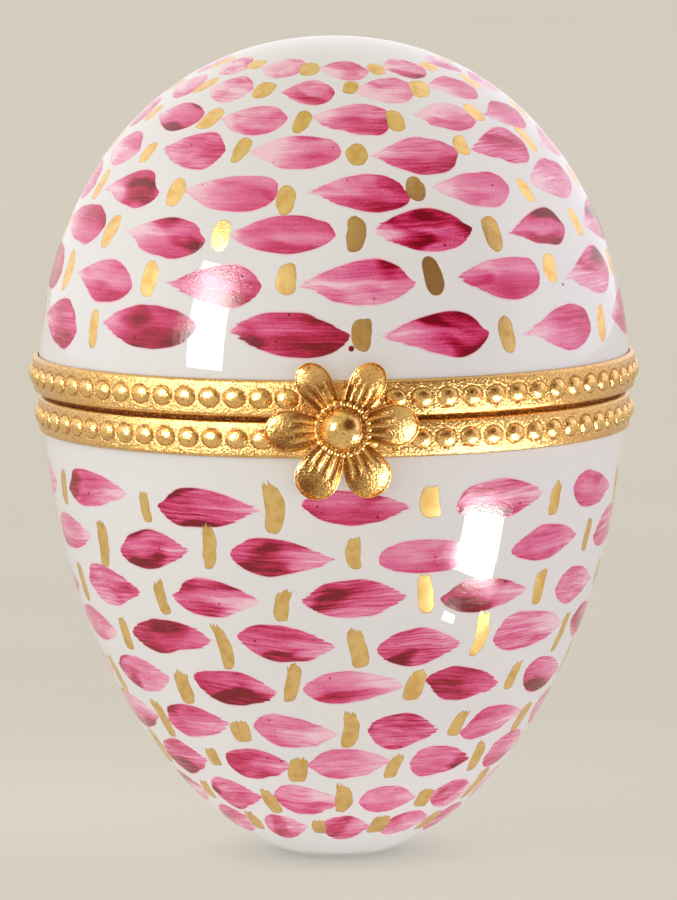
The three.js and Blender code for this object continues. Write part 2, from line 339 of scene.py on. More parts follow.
def stroke_layer(u, v, odd, shift, rows, seed, habit):
    """Every second row of brush strokes: the paint at a point, its pale fringe and its strength.

    A stroke is two lobes side by side along a pale rib, with a pulled-out tail and a blunt end."""
    row = reckon("ROUND", (v - odd) / 2) * 2 + odd
    rise = row - v if habit["rows_go_down"] else v - row
    along = u - shift
    column = reckon("ROUND", along)
    run = along - column
    first, second, third = dice(column, row, seed)
    fourth, fifth, sixth = dice(column, row, seed + 1)
    seventh, eighth, ninth = dice(column, row, seed + 2)

    wander = grain(point(run * 4, rise * 2, first * 40 + row), 1.0, 1.0) - 0.5
    run = run + (second - 0.5) * habit["sway"]
    rise = rise + (third - 0.5) * habit["row_wobble"]
    rise = rise + (fourth - 0.5) * habit["lean"] * run + wander * 0.13
    rib = (seventh - 0.5) * 0.16
    lower = ease(rise - rib, -0.1, 0.1, 0.5, -0.5)
    fuller = reckon("MAXIMUM", row - habit["fuller_from"], 0.0) * habit["fuller"]
    half_length = between(fifth, *habit["half_length"]) + fuller
    half_height = between(sixth, *habit["half_height"]) + fuller
    half_height = half_height * (1 + lower * (fourth - 0.5) * 0.5)
    x = run * habit["hand"] / half_length + wander * 0.2 - lower * between(eighth, *habit["lag"])
    belly = between(ninth, *habit["belly"]) + lower * (first - 0.5) * 0.5
    beyond = x - belly
    blunt = above(beyond, 0.0)
    share = reckon("ABSOLUTE", beyond) / (1 + belly - belly * blunt * 2)
    power = between(blunt, between(third, *habit["tail_power"]), between(second, *habit["blunt_power"]))
    swell = reckon("POWER", reckon("MAXIMUM", 1 - share * share, 0.0), power)
    height = reckon("ABSOLUTE", rise) / half_height
    past_end = reckon("MAXIMUM", share - 1, 0.0)

    streaks = grain(point(x * 1.1, rise * 22, first * 60 + row * 3), 1.0, 2.0, 0.65) - 0.5
    ragged = ease(share, 0.4, 1.0) * between(blunt, habit["tail_fray"], habit["blunt_fray"])
    depth = swell - height - past_end * 3 + streaks * ragged
    inside_rows = above(row, 0.5) * above(rows + 0.5, row)
    mask = ease(depth, 0.0, 0.06) * inside_rows
    fringe = ease(depth, -0.1, 0.02) * inside_rows

    wash = habit["wash"][0] + row * habit["wash"][1] + (first - 0.5) * habit["wash"][2]
    from_rib = reckon("ABSOLUTE", rise - rib)
    rib_line = ease(from_rib, 0.0, 0.05, 0.2, 0.0) + ease(from_rib, 0.0, 0.25, 0.16, 0.0)
    rib_line = rib_line * ease(eighth, 0.1, 0.7) * ease(x, -0.5, 0.7, 1.0, 0.2)
    cloud = grain(point(x * 1.1, rise * 2.4, second * 50 + row), 1.0, 2.0) - 0.5
    pool = grain(point(x * 0.8 + rise * 0.7, rise * 1.5, third * 70 + row), 1.0, 1.0)
    pool = ease(pool, 0.5, 0.64) * between(seventh, *habit["pool"])
    tail = ease(share, 0.1, 1.0) * (1 - blunt) * habit["tail_pale"]
    rim = ease(depth, 0.0, 0.14, 0.12, 0.0)
    strength = wash + x * between(fifth, *habit["slope"]) + cloud * 0.7 + pool - tail - rib_line + rim
    strength = strength + streaks * between(sixth, *habit["streaky"]) - lower * (second - 0.5) * 0.5
    return mask, fringe, strength


def dab_layer(u, v, radius, odd, shift, rows, seed, habit):
    """Gold dabs midway between the strokes of every second row: the gold and its darker edge."""
    row = reckon("ROUND", (v - odd) / 2) * 2 + odd
    rise = row - v if habit["rows_go_down"] else v - row
    along = u - shift - 0.5
    column = reckon("ROUND", along)
    first, second, third = dice(column, row, seed)
    fourth, fifth, sixth = dice(column, row, seed + 1)
    run = (along - column) * radius * (2 * math.pi / COLUMNS) + (first - 0.5) * 0.7
    rise = (rise + (second - 0.5) * 0.3) * habit["row_step"]
    wander = grain(point(run * 0.8, rise * 0.6, third * 50 + row), 1.0, 1.0) - 0.5
    tall = between(fourth, *habit["dab_half_height"]) - row * habit["dab_shrink"]
    wide = between(fifth, *habit["dab_half_width"])
    run = run + rise * (sixth - 0.5) * 0.4 + rise * rise * (fourth - 0.5) * 0.22 + wander * 0.5
    x = reckon("ABSOLUTE", run) / wide
    y = reckon("ABSOLUTE", rise + wander * 0.5) / tall
    square = habit["dab_square"]
    spread = reckon("POWER", reckon("POWER", x, square) + reckon("POWER", y, square), 1 / square)
    bristles = grain(point(run * 5.0, 0.0, first * 70 + row), 1.0, 2.0) - 0.5
    top = ease(rise / tall, 0.2, 1.0) * habit["dab_fray"]
    depth = 1 - spread + bristles * top
    mask = ease(depth, 0.0, 0.09) * above(row, 0.5) * above(rows + 0.5, row)
    edge = ease(depth, 0.03, 0.16, 1.0, 0.0) * mask
    return mask, edge


PORCELAIN_WHITE = srgb(237, 237, 239)
PORCELAIN_COOL = srgb(230, 232, 238)
FRINGE_PINK = srgb(246, 196, 216)
RASPBERRY = (
    (0.0, srgb(250, 208, 226)),
    (0.25, srgb(240, 154, 190)),
    (0.5, srgb(228, 104, 156)),
    (0.72, srgb(210, 54, 110)),
    (0.88, srgb(178, 20, 62)),
    (1.0, srgb(128, 6, 32)),
)
GOLD_DAB = srgb(240, 204, 134)
GOLD_THIN = srgb(228, 186, 112)
GOLD_EDGE = srgb(150, 100, 46)


def glaze_white(place):
    """White porcelain, a little warmer here and cooler there."""
    return tint(grain(place, 0.12, 1.0), PORCELAIN_COOL, PORCELAIN_WHITE)


def painted_glaze(name, rows, odd_shift, seed, habit):
    """Clear glaze over white porcelain, with enamel strokes and gold dabs fired on top."""
    material, shader, place = new_material(name)
    east, north = parts(place)[:2]
    radius = reckon("SQRT", east * east + north * north)
    paint_map = node_for([place], "ShaderNodeUVMap")
    paint_map.uv_map = "paint"
    u, v = parts(Wire(paint_map.outputs[0]))[:2]
    even_shift = odd_shift + 0.5

    odd_mask, odd_fringe, odd_strength = stroke_layer(u, v, 1, odd_shift, rows, seed, habit)
    even_mask, even_fringe, even_strength = stroke_layer(u, v, 0, even_shift, rows, seed, habit)
    enamel = reckon("MAXIMUM", odd_mask, even_mask)
    fringe = reckon("MAXIMUM", odd_fringe, even_fringe)
    strength = between(even_mask, odd_strength, even_strength)
    odd_dab, odd_edge = dab_layer(u, v, radius, 1, odd_shift, rows, seed + 5, habit)
    even_dab, even_edge = dab_layer(u, v, radius, 0, even_shift, rows, seed + 5, habit)
    gold = reckon("MAXIMUM", odd_dab, even_dab)
    gold_edge = reckon("MAXIMUM", odd_edge, even_edge)

    specks = node_for([place], "ShaderNodeTexVoronoi")
    connect(place, specks.inputs["Vector"])
    specks.inputs["Scale"].default_value = 1.1
    speck_size, chosen = parts(Wire(specks.outputs["Color"]))[:2]
    from_speck = Wire(specks.outputs["Distance"]) - speck_size * 0.1
    speck = ease(from_speck, 0.02, 0.07, 1.0, 0.0) * above(chosen, 0.6)
    stray = ease(from_speck, 0.13, 0.2, 1.0, 0.0) * above(chosen, 0.9988)
    powder = grain(place, 7.0, 2.0, 0.7) - 0.5
    strength = strength + speck * 0.35 + powder * 0.35 + stray * (1 - enamel)
    enamel = reckon("MAXIMUM", enamel, stray)

    white = tint(fringe * 0.6, glaze_white(place), FRINGE_PINK)
    colour = tint(enamel, white, ramp(strength, RASPBERRY))
    leaf = tint(ease(grain(place, 1.2, 1.0), 0.4, 0.7), GOLD_DAB, GOLD_THIN)
    leaf = tint(gold_edge * 0.4, leaf, GOLD_EDGE)
    connect(tint(gold, colour, leaf), shader.inputs["Base Color"])
    connect(gold * 0.88, shader.inputs["Metallic"])
    connect(between(gold, 0.03 + enamel * 0.02, 0.26), shader.inputs["Roughness"])
    emboss(shader, grain(place, 6.5, 2.0, 0.6), 0.015 * MM, reckon("MAXIMUM", enamel, gold))
    return material


def plain_glaze(name):
    """The unpainted inside: the same white under glaze, with a faint ripple from the casting."""
    material, shader, place = new_material(name)
    connect(glaze_white(place), shader.inputs["Base Color"])
    connect(0.06 + grain(place, 0.4) * 0.06, shader.inputs["Roughness"])
    emboss(shader, grain(place, 0.25), 0.04 * MM)
    return material


BOWL_SHIFT = 0.09
BOWL_SEED = 3.0
BOWL_HABIT = {
    "rows_go_down": True,
    "hand": -1,
    "row_step": BOWL_ROW_STEP / MM,
    "half_length": (0.31, 0.39),
    "half_height": (0.37, 0.45),
    "fuller_from": 3.5,
    "fuller": 0.013,
    "sway": 0.06,
    "row_wobble": 0.18,
    "lean": 0.5,
    "lag": (-0.15, 0.15),
    "belly": (0.0, 0.4),
    "tail_power": (0.75, 1.3),
    "blunt_power": (0.5, 0.85),
    "tail_fray": 0.6,
    "blunt_fray": 0.35,
    "tail_pale": 0.2,
    "pool": (0.1, 0.55),
    "wash": (0.66, -0.032, 0.45),
    "slope": (-0.04, 0.12),
    "streaky": (0.45, 1.4),
    "dab_half_height": (1.3, 2.15),
    "dab_half_width": (0.54, 0.84),
    "dab_shrink": 0.05,
    "dab_square": 3.4,
    "dab_fray": 0.8,
}
inside_glaze = plain_glaze("plain_white_glaze")
bowl_glaze = painted_glaze("painted_bowl_glaze", BOWL_ROWS, BOWL_SHIFT, BOWL_SEED, BOWL_HABIT)
bowl.data.materials.append(bowl_glaze)
bowl.data.materials.append(inside_glaze)
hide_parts("porcelain_bowl")
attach(bowl, "bowl")

# The bowl's band is a rim mount of gold-plated brass, stamped in one strip with a row of beads, bent to a
# ring and cemented over the porcelain's edge. Its flange covers the cut rim, with a low lip for the lid.
bowl_band_low, bowl_band_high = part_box("bowl_band")
lid_band_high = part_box("lid_band")[1]
BEAD_COUNT = 72
BEAD_ANGLE = 2 * math.pi / BEAD_COUNT
BEAD_RISE = 0.28 * MM
BEAD_HALF_WIDTH = 0.8 * MM
BEAD_HALF_HEIGHT = 0.68 * MM
BEAD_CROWN_POWER = 0.6
BEAD_GROOVE = 0.035 * MM
GROOVE_MIDDLE = 1.08
GROOVE_SPREAD = 0.1
BEAD_WEAR = 0.002 * MM
BAND_SWELL = 0.1 * MM
BAND_LIP = 0.22 * MM
FLANGE_THICKNESS = 0.5 * MM
FLANGE_OVERHANG = 0.15 * MM
SEAM_LIP_HEIGHT = 0.2 * MM
SEAM_OPENING = 0.32 * MM
SEAM_EDGE_INSET = 0.25 * MM
LIP_INSET = 0.4 * MM
FLANGE_INSET = 0.8 * MM
CEMENT = 0.06 * MM
PLAIN_CELLS = 7
PLAIN_MARGIN = 0.01
BEAD_COLUMNS = 22
BEAD_ROWS = 40
# Polish values below also set painted shade: low values darken grooves, the seam lip and hidden faces,
# and full values light the bead crowns as a painted highlight.
FIELD_POLISH_AND_SHADE = 0.6
FLANGE_POLISH = 0.85
FLANGE_EDGE_POLISH = 0.6
LIP_POLISH_AND_SHADE = 0.1
HIDDEN_SHADE = 0.0
SMOOTH_BELOW = math.radians(50)
NEAR_RING = MM / 200


def bead_face(around, up):
    """How far a place on one bead's cell stands above the band's field, and how polished it is, which
    also sets its painted shade: light on the crown, darker in the groove.
    """
    reach = math.hypot(around / BEAD_HALF_WIDTH, up / BEAD_HALF_HEIGHT)
    if reach < 1:
        crown = (1 - reach * reach) ** BEAD_CROWN_POWER
        return BEAD_RISE * crown, FIELD_POLISH_AND_SHADE + (1 - FIELD_POLISH_AND_SHADE) * crown
    groove = math.exp(-(((reach - GROOVE_MIDDLE) / GROOVE_SPREAD) ** 2))
    return -BEAD_GROOVE * groove, FIELD_POLISH_AND_SHADE * (1 - groove)


def select_ring(piece, height):
    """Selects the edges of a piece that lie at one height, in edge mode."""
    bpy.ops.object.mode_set(mode="EDIT")
    bpy.ops.mesh.select_mode(type="EDGE")
    bpy.ops.mesh.select_all(action="DESELECT")
    bpy.ops.object.mode_set(mode="OBJECT")
    for edge in piece.data.edges:
        ends = [piece.data.vertices[end].co.z for end in edge.vertices]
        edge.select = all(abs(end - height) < NEAR_RING for end in ends)
    bpy.ops.object.mode_set(mode="EDIT")


def band(name, radius, crest, side, far_throat, lip):
    """A beaded ring above (side 1) or below (side -1) the seam, from one bead's cell spun round."""
    seam_face = SEAM + side * SEAM_OPENING / 2
    far_face = lid_band_high.z if side > 0 else bowl_band_low.z
    band_height = abs(far_face - seam_face)
    middle = (seam_face + far_face) / 2
    field = crest - BEAD_WEAR - BEAD_RISE

    def plain_face(height):
        edge = max(1 - (band_height / 2 - abs(height)) / BAND_LIP, 0)
        return field - BAND_SWELL * (2 * height / band_height) ** 2 - BAND_LIP * edge * edge

    bpy.ops.object.select_all(action="DESELECT")
    bpy.ops.mesh.primitive_grid_add(x_subdivisions=BEAD_COLUMNS, y_subdivisions=BEAD_ROWS, size=1)
    piece = bpy.context.active_object
    piece.name = name
    piece.data.name = name
    polish_and_shade = piece.data.attributes.new("polish_and_shade", "FLOAT", "POINT")
    for vertex in piece.data.vertices:
        angle = vertex.co.x * BEAD_ANGLE
        height = vertex.co.y * band_height
        rise, polish_and_shade.data[vertex.index].value = bead_face(angle * field, height)
        distance = plain_face(height) + rise
        vertex.co = (distance * math.sin(angle), distance * math.cos(angle), middle + height)
    bpy.ops.object.mode_set(mode="EDIT")
    bpy.ops.mesh.select_all(action="SELECT")
    bpy.ops.mesh.spin(steps=BEAD_COUNT, dupli=True, angle=2 * math.pi, center=(0, 0, 0), axis=(0, 0, 1))
    close_up()
    polish_and_shade = piece.data.attributes["polish_and_shade"]
    plain_reach = (PLAIN_CELLS / 2 + PLAIN_MARGIN) * BEAD_ANGLE
    for vertex in piece.data.vertices:
        if abs(math.atan2(vertex.co.x, vertex.co.y)) < plain_reach:
            vertex.co.xy = vertex.co.xy.normalized() * plain_face(vertex.co.z - middle)
            polish_and_shade.data[vertex.index].value = FIELD_POLISH_AND_SHADE
    # The flange's section carries painted shade too: its seam face, lip and cemented faces are darkened,
    # the flange's outer edge a little.
    inner = radius - WALL - FLANGE_OVERHANG
    section = [
        (radius - SEAM_EDGE_INSET, seam_face, HIDDEN_SHADE),
        (radius - LIP_INSET, seam_face - side * lip, LIP_POLISH_AND_SHADE),
        (radius - FLANGE_INSET, seam_face - side * lip, FLANGE_POLISH),
        (inner, seam_face - side * lip, FLANGE_POLISH),
        (inner, seam_face + side * FLANGE_THICKNESS, FLANGE_EDGE_POLISH),
        (radius + CEMENT, seam_face + side * FLANGE_THICKNESS, HIDDEN_SHADE),
        (far_throat + CEMENT, far_face, HIDDEN_SHADE),
    ]
    select_ring(piece, seam_face)
    for distance, height, shine_and_shade in section:
        bpy.ops.mesh.extrude_edges_move()
        bpy.ops.object.mode_set(mode="OBJECT")
        polish_and_shade = piece.data.attributes["polish_and_shade"]
        for vertex in piece.data.vertices:
            if vertex.select:
                flat = vertex.co.xy.normalized() * distance
                vertex.co = (flat.x, flat.y, height)
                polish_and_shade.data[vertex.index].value = shine_and_shade
        bpy.ops.object.mode_set(mode="EDIT")
    select_ring(piece, far_face)
    bpy.ops.mesh.bridge_edge_loops()
    bpy.ops.mesh.select_mode(type="VERT")
    close_up()
    bpy.ops.object.shade_smooth_by_angle(angle=SMOOTH_BELOW)
    return piece


GILT_BRIGHT = srgb(255, 222, 150)
GILT_DEEP = srgb(247, 190, 108)
GILT_RECESS_SHADE = srgb(142, 74, 28)


def gilt_brass(name, roughness, tooth, has_polish_and_shade):
    """Gold plate on brass, finely pitted, with painted shade in the pits.

    With a polish map it is glossier and lighter on what stands proud, as a painted highlight, and rougher
    and darkened brown with painted shade in the recesses, seams and hidden faces."""
    material, shader, place = new_material(name)
    pits = grain(place, 6.0, 2.0, 0.65)
    colour = tint(grain(place, 0.5, 3.0), GILT_DEEP, GILT_BRIGHT)
    # Painted shade: the pits are darkened towards brown.
    colour = tint(ease(pits, 0.47, 0.33) * 0.65, colour, GILT_RECESS_SHADE)
    dull = roughness + ease(pits, 0.5, 0.3) * 0.12
    coarse = 1.0
    if has_polish_and_shade:
        polish_and_shade_map = node_for([place], "ShaderNodeAttribute")
        polish_and_shade_map.attribute_name = "polish_and_shade"
        recess = 1 - Wire(polish_and_shade_map.outputs["Fac"])
        # Painted shade and highlight: low map values darken recesses, seams and hidden faces to brown,
        # high values keep crowns and rims light.
        colour = tint(recess * recess * 0.85, colour, GILT_RECESS_SHADE)
        dull = dull + recess * 0.14
        coarse = 0.3 + recess * 0.7
    connect(colour, shader.inputs["Base Color"])
    shader.inputs["Metallic"].default_value = 1.0
    connect(dull, shader.inputs["Roughness"])
    emboss(shader, pits, tooth, coarse)
    return material


bowl_throat = egg_radius(BOWL_RADIUS, BOWL_REACH, BOWL_POWER, SEAM - bowl_band_low.z)
bowl_band = band("bowl_band_beaded", BOWL_RADIUS, bowl_band_high.x, -1, bowl_throat, SEAM_LIP_HEIGHT)
band_gilt = gilt_brass("gilt_band", roughness=0.12, tooth=0.15 * MM, has_polish_and_shade=True)
bowl_band.data.materials.append(band_gilt)
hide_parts("bowl_band")
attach(bowl_band, "bowl")

# The porcelain dome is the upper half of the egg, cast, glazed and painted as the bowl is. Its strokes
# were pulled the other way, so their tails point left, and its gold dabs are rounder.
dome_low, dome_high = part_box("porcelain_dome")
DOME_RADIUS = dome_high.x
DOME_RIM = dome_low.z
DOME_REACH = dome_high.z - SEAM
DOME_POWER = 2.11
DOME_ROWS = 8
DOME_FIRST_ROW = 6.35 * MM
DOME_ROW_STEP = 3.85 * MM
DOME_ROW_CLOSING = 0.052 * MM
DOME_SHIFT = -0.37
DOME_SEED = 11.0

dome_depth = DOME_RIM - SEAM + RIM_ROUND
dome_inner_reach = DOME_REACH - WALL
dome_outside = egg_curve(DOME_RADIUS, DOME_REACH, DOME_POWER, dome_depth, DOME_REACH, OUTSIDE_STEPS, 1)
dome_inside = egg_curve(
    DOME_RADIUS - WALL, dome_inner_reach, DOME_POWER, dome_depth, dome_inner_reach, INSIDE_STEPS, 1
)
dome_rim = rounded_rim(DOME_RADIUS, DOME_RADIUS - WALL, DOME_RIM, 1)
dome = turn("painted_dome", dome_outside[::-1] + dome_rim + dome_inside, SHELL_SIDES)


def dome_row(from_rim):
    """Row number at a distance up the dome's outside: row 1 is above the band, and rows close up."""
    past = from_rim + dome_depth - DOME_FIRST_ROW
    root = math.sqrt(max(DOME_ROW_STEP**2 - 4 * DOME_ROW_CLOSING * past, 0))
    return 1 + (DOME_ROW_STEP - root) / (2 * DOME_ROW_CLOSING)


lay_out(dome, dome_outside, 1, dome_row)
DOME_HABIT = {
    **BOWL_HABIT,
    "rows_go_down": False,
    "hand": 1,
    "row_step": DOME_ROW_STEP / MM,
    "half_length": (0.31, 0.4),
    "half_height": (0.43, 0.51),
    "fuller_from": 0.0,
    "fuller": 0.003,
    "lean": 0.2,
    "lag": (-0.1, 0.16),
    "belly": (0.05, 0.45),
    "tail_power": (0.85, 1.6),
    "blunt_power": (0.45, 0.75),
    "tail_fray": 0.5,
    "blunt_fray": 0.16,
    "tail_pale": 0.34,
    "pool": (0.05, 0.5),
    "wash": (0.72, -0.066, 0.35),
    "slope": (0.0, 0.16),
    "streaky": (0.3, 1.0),
    "dab_half_height": (1.4, 1.9),
    "dab_half_width": (0.64, 0.9),
    "dab_shrink": 0.07,
    "dab_square": 2.4,
    "dab_fray": 0.1,
}
dome_glaze = painted_glaze("painted_dome_glaze", DOME_ROWS, DOME_SHIFT, DOME_SEED, DOME_HABIT)
dome.data.materials.append(dome_glaze)
dome.data.materials.append(inside_glaze)
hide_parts("porcelain_dome")
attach(dome, "lid")

# The lid's band is the twin of the bowl's, a shade larger and without the lip, cemented round the dome's
# edge. When the box is shut it lies just above the bowl's band.
dome_throat = egg_radius(DOME_RADIUS, DOME_REACH, DOME_POWER, lid_band_high.z - SEAM)
lid_band = band("lid_band_beaded", DOME_RADIUS, lid_band_high.x, 1, dome_throat, 0)
lid_band.data.materials.append(band_gilt)
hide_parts("lid_band")
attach(lid_band, "lid")

# The hinge is a small barrel hinge of gilt brass: three tubes, each with a curved leaf soldered to its
# band and a short web between the two, turning on one pin with rounded ends.
BARREL_RADIUS = 1.1 * MM
BARREL_SIDES = 48
LEAF_THICKNESS = 0.75 * MM
LEAF_CLEARANCE = 0.12 * MM
LEAF_STEPS = 10
LEAF_FROM_SEAM = 0.28 * MM
WEB_FROM_SEAM = 1.0 * MM
WEB_BITE = 0.05 * MM
EDGE_ROUND = 0.1 * MM
EDGE_ROUND_STEPS = 3
ROUND_FROM = math.radians(40)
hinge_gilt = gilt_brass("gilt_hinge", roughness=0.16, tooth=0.03 * MM, has_polish_and_shade=False)


def knuckle(node, body, band_crest, side):
    """A tube on the hinge's axis, joined by a web to a leaf that follows its band."""
    low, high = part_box(node)
    length = high.x - low.x
    middle_x = (low.x + high.x) / 2
    near = band_crest - BEAD_RISE + LEAF_CLEARANCE
    far = near + LEAF_THICKNESS
    leaf_edge = SEAM + side * LEAF_FROM_SEAM
    top, bottom = (high.z, leaf_edge) if side > 0 else (leaf_edge, low.z)
    corners = [(near, bottom), (far, bottom), (far, top), (near, top), (near, bottom)]
    piece = draw(node + "_tube", [Vector((0, distance, height)) for distance, height in corners])
    bpy.ops.mesh.remove_doubles(threshold=WELD_DISTANCE)
    bpy.ops.mesh.edge_face_add()
    start = math.asin(low.x / near)
    bpy.ops.transform.rotate(value=start, orient_axis="Z", center_override=(0, 0, 0))
    bpy.ops.mesh.spin(
        steps=LEAF_STEPS, angle=length / near, center=(0, 0, 0), axis=(0, 0, 1), use_auto_merge=False
    )
    bpy.ops.mesh.select_all(action="DESELECT")
    web_start = math.sqrt(near**2 - max(low.x, -high.x, 0) ** 2) + WEB_BITE
    web_depth = HINGE_AXIS.y - web_start
    web_height = SEAM + side * (LEAF_FROM_SEAM + WEB_FROM_SEAM) / 2
    bpy.ops.mesh.primitive_cube_add(
        size=1,
        location=(middle_x, web_start + web_depth / 2, web_height),
        scale=(length, web_depth, WEB_FROM_SEAM - LEAF_FROM_SEAM),
    )
    bpy.ops.mesh.select_all(action="DESELECT")
    bpy.ops.mesh.primitive_cylinder_add(
        vertices=BARREL_SIDES,
        radius=BARREL_RADIUS,
        depth=length,
        location=(middle_x, HINGE_AXIS.y, HINGE_AXIS.z),
        rotation=(0, math.pi / 2, 0),
    )
    close_up()
    soften = piece.modifiers.new("softened_edges", "BEVEL")
    soften.width = EDGE_ROUND
    soften.segments = EDGE_ROUND_STEPS
    soften.limit_method = "ANGLE"
    soften.angle_limit = ROUND_FROM
    bpy.ops.object.modifier_apply(modifier=soften.name)
    bpy.ops.object.shade_smooth_by_angle(angle=SMOOTH_BELOW)
    piece.data.materials.append(hinge_gilt)
    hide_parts(node)
    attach(piece, body)


knuckle("hinge_knuckle_left", "bowl", bowl_band_high.x, -1)
knuckle("hinge_knuckle_right", "bowl", bowl_band_high.x, -1)
knuckle("hinge_knuckle_middle", "lid", lid_band_high.x, 1)

PIN_RADIUS = 0.5 * MM
PIN_DOME = 0.3 * MM
PIN_DOME_STEPS = 6
PIN_SIDES = 32
pin_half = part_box("hinge_pin")[1].x
pin_line = []
for step in range(PIN_DOME_STEPS, -1, -1):
    swing = step * math.pi / (2 * PIN_DOME_STEPS)
    out = pin_half - PIN_DOME + PIN_DOME * math.sin(swing)
    pin_line.append(Vector((out, PIN_RADIUS * math.cos(swing), 0)))
pin_line += [Vector((-place.x, place.y, 0)) for place in pin_line[::-1]]
pin = draw("hinge_pin_rod", [place + HINGE_AXIS for place in pin_line])
bpy.ops.mesh.spin(steps=PIN_SIDES, angle=2 * math.pi, center=HINGE_AXIS, axis=(1, 0, 0))
close_up()
bpy.ops.object.shade_smooth_by_angle(angle=SMOOTH_BELOW)
pin.data.materials.append(hinge_gilt)
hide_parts("hinge_pin")
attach(pin, "bowl")

# The flower is the thumb piece: one brass casting, gold-plated, with six spoon-shaped petals round a ball
# on a beaded collar. It is soldered to the front of the lid's band and hangs over the seam.
flower_low, flower_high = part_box("flower_clasp")
FLOWER_MIDDLE = Vector((0, 0, (flower_low.z + flower_high.z) / 2))
FLOWER_FRONT = flower_low.y
FLOWER_STANDOFF = 0.5 * MM
FLOWER_BACK = -(lid_band_high.x + FLOWER_STANDOFF)
FLOWER_SMOOTH_BELOW = math.radians(60)
# Each petal's angle in degrees, and its tip's distance from the middle and half width in millimetres.
PETALS = (
    (4, 5.74, 1.6),
    (61, 5.62, 1.34),
    (121, 5.76, 1.32),
    (181.5, 5.84, 1.6),
    (241.5, 5.74, 1.68),
    (299, 5.58, 1.74),
)
PETAL_ROOT = 1.1 * MM
PETAL_TIP = 5.7 * MM
PETAL_HALF_WIDTH = 1.6 * MM
PETAL_ROOT_HALF_WIDTH = 0.66 * MM
PETAL_WIDEST = 0.64
PETAL_CURL = 0.6 * MM
PETAL_CUP = 0.36 * MM
PETAL_LIP = 0.12 * MM
PETAL_LIP_WIDTH = 0.13 * MM
PETAL_RIDGE = 0.14 * MM
PETAL_RIDGE_TURNS = 4
PETAL_LIFT = 0.5 * MM
PETAL_THICKNESS = 0.3 * MM
PETAL_FRONT_ROUND = 0.06 * MM
PETAL_BACK_ROUND = 0.16 * MM
PETAL_STEPS = 48
PETAL_STEPS_TO_WIDEST = 28
PETAL_STEPS_ACROSS = 56
# Polish values below also set painted shade: petal roots, cups, the collar and the ball's lower rim are
# darkened, while tips, rims and bead tops stay light as a painted highlight.
PETAL_POLISH = 0.7
RIM_POLISH_NEAR = 0.08 * MM
RIM_POLISH_FAR = 0.4 * MM
BALL_RADIUS = 1.68 * MM
BALL_SIDES = 64
BALL_RINGS = 40
BALL_POLISH = 0.9
COLLAR_RADIUS = 2.12 * MM
COLLAR_HEIGHT = 0.72 * MM
COLLAR_SIDES = 64
COLLAR_ROUND = 0.15 * MM
COLLAR_ROUND_STEPS = 3
COLLAR_POLISH = 0.3
COLLAR_BEADS = 24
COLLAR_BEAD_HALF_WIDTH = 0.23 * MM
COLLAR_BEAD_STRETCH = 1.3
COLLAR_BEAD_INSET = 0.18 * MM
COLLAR_BEAD_TILT = math.radians(14)
COLLAR_BEAD_SIDES = 20
COLLAR_BEAD_RINGS = 12
COLLAR_BEAD_TOP = 0.1 * MM
SOLDER_MIDDLE = (0, 2.05 * MM, -0.05 * MM)
SOLDER_SIZE = (3 * MM, 1.9 * MM, 0.7 * MM)


def smooth_share(value, low, high):
    """Rises smoothly from 0 to 1 as value goes from low to high."""
    share = min(max((value - low) / (high - low), 0), 1)
    return share * share * (3 - 2 * share)


def rounding(value, reach):
    """Rises from 0 to 1 as a quarter circle does, as value goes from 0 to reach."""
    short = 1 - min(value / reach, 1)
    return math.sqrt(1 - short * short)


def petal_point(step, step_across):
    """A place on the petal's front, how polished it is there, which also sets its painted shade, and how
    thick the petal is behind it.

    x goes out from the flower's middle, y across and z towards the viewer."""
    length = PETAL_TIP - PETAL_ROOT
    across = math.sin(step_across * math.pi / 2)
    if step <= PETAL_STEPS_TO_WIDEST:
        along = PETAL_WIDEST * step / PETAL_STEPS_TO_WIDEST
    else:
        swing = (step - PETAL_STEPS_TO_WIDEST) / (PETAL_STEPS - PETAL_STEPS_TO_WIDEST) * math.pi / 2
        along = PETAL_WIDEST + (1 - PETAL_WIDEST) * math.sin(swing)
    past_widest = max(along - PETAL_WIDEST, 0) / (1 - PETAL_WIDEST)
    if past_widest > 0:
        width = PETAL_HALF_WIDTH * math.sqrt(max(1 - past_widest * past_widest, 0))
        from_middle = math.hypot(past_widest, across * width / PETAL_HALF_WIDTH)
    else:
        spread = smooth_share(along / PETAL_WIDEST, -0.35, 1)
        width = PETAL_ROOT_HALF_WIDTH + (PETAL_HALF_WIDTH - PETAL_ROOT_HALF_WIDTH) * spread
        from_middle = abs(across)
    from_edge = max(1 - from_middle, 0) * PETAL_HALF_WIDTH
    cup = PETAL_CUP * (1 - from_middle * from_middle) * smooth_share(along, 0.05, 0.5)
    lip = PETAL_LIP * math.exp(-((from_edge / PETAL_LIP_WIDTH) ** 2))
    root = 1 - smooth_share(along, 0.36, 0.68)
    ridge = math.cos(across * PETAL_RIDGE_TURNS * math.pi)
    lift = PETAL_LIFT + PETAL_CURL * along * along - cup + lip + PETAL_RIDGE * ridge * root
    lift -= PETAL_FRONT_ROUND * (1 - rounding(from_edge, PETAL_FRONT_ROUND))
    thickness = PETAL_THICKNESS * rounding(min(from_edge, along * length), PETAL_BACK_ROUND)
    polish_and_shade = PETAL_POLISH * smooth_share(along, 0.4, 0.85)
    rim_polish_and_light = 1 - smooth_share(from_edge, RIM_POLISH_NEAR, RIM_POLISH_FAR)
    polish_and_shade = max(polish_and_shade, rim_polish_and_light, root * (0.5 + 0.5 * ridge))
    return Vector((PETAL_ROOT + length * along, across * width, lift)), polish_and_shade, thickness


